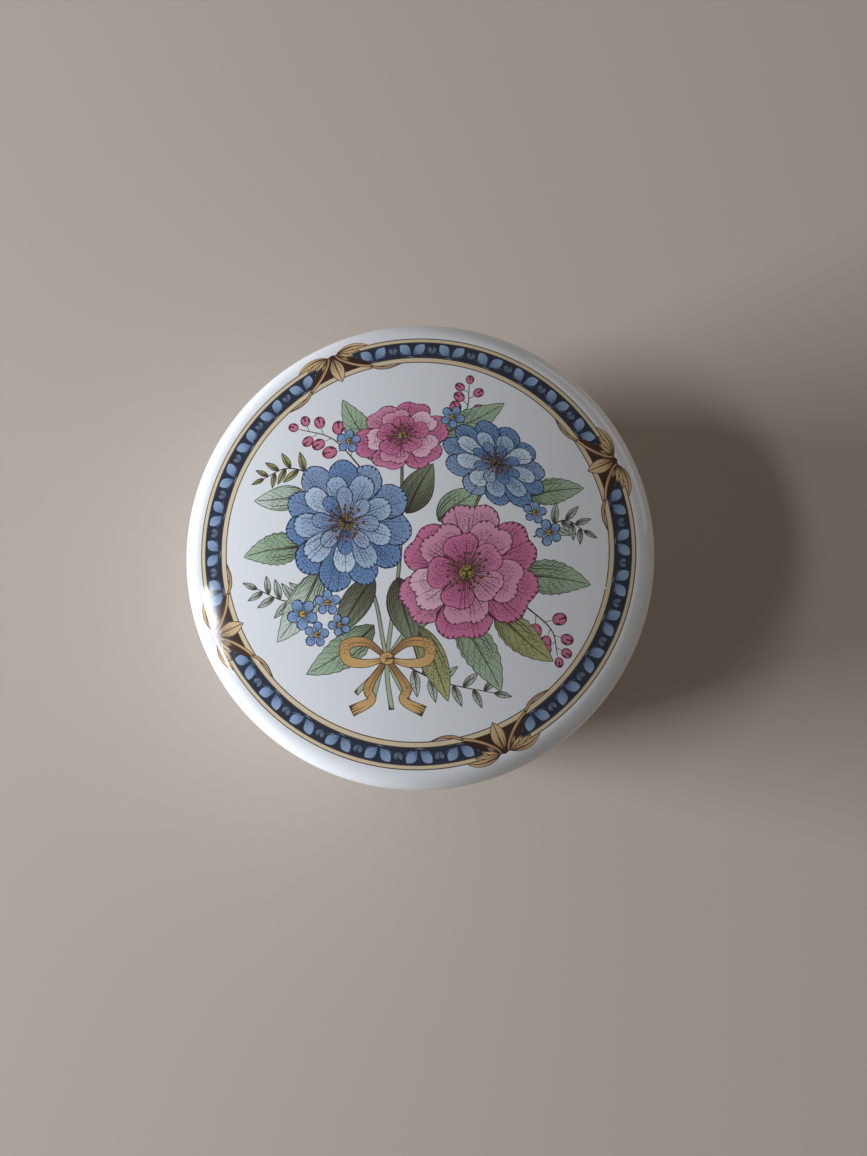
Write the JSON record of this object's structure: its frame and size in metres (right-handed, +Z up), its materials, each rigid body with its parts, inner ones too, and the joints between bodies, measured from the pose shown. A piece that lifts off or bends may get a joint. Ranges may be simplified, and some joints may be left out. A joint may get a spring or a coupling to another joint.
{
  "type": "round bone china trinket box",
  "caption": "Small round bone china jewelry box: footed drum-shaped base with a raised inner lip, and a gently domed lift-off lid.",
  "frame": {"origin": "middle of the circle that the foot ring stands on", "axes": "+Z up along the box's turning axis, +Y towards the top of the picture on the lid, +X to its right"},
  "size_m": [0.062, 0.062, 0.0382],
  "materials": {
    "white_china": "glossy clear glaze over warm white bone china, with a slim ochre and brown printed line; the seat and the foot's standing face are unglazed",
    "printed_china": "glossy clear glaze over warm white bone china, printed with a coloured bouquet inside a narrow leaf-pair border"
  },
  "bodies": {
    "root": {"base": "white_china", "lid": "printed_china"}
  },
  "joints": []
}
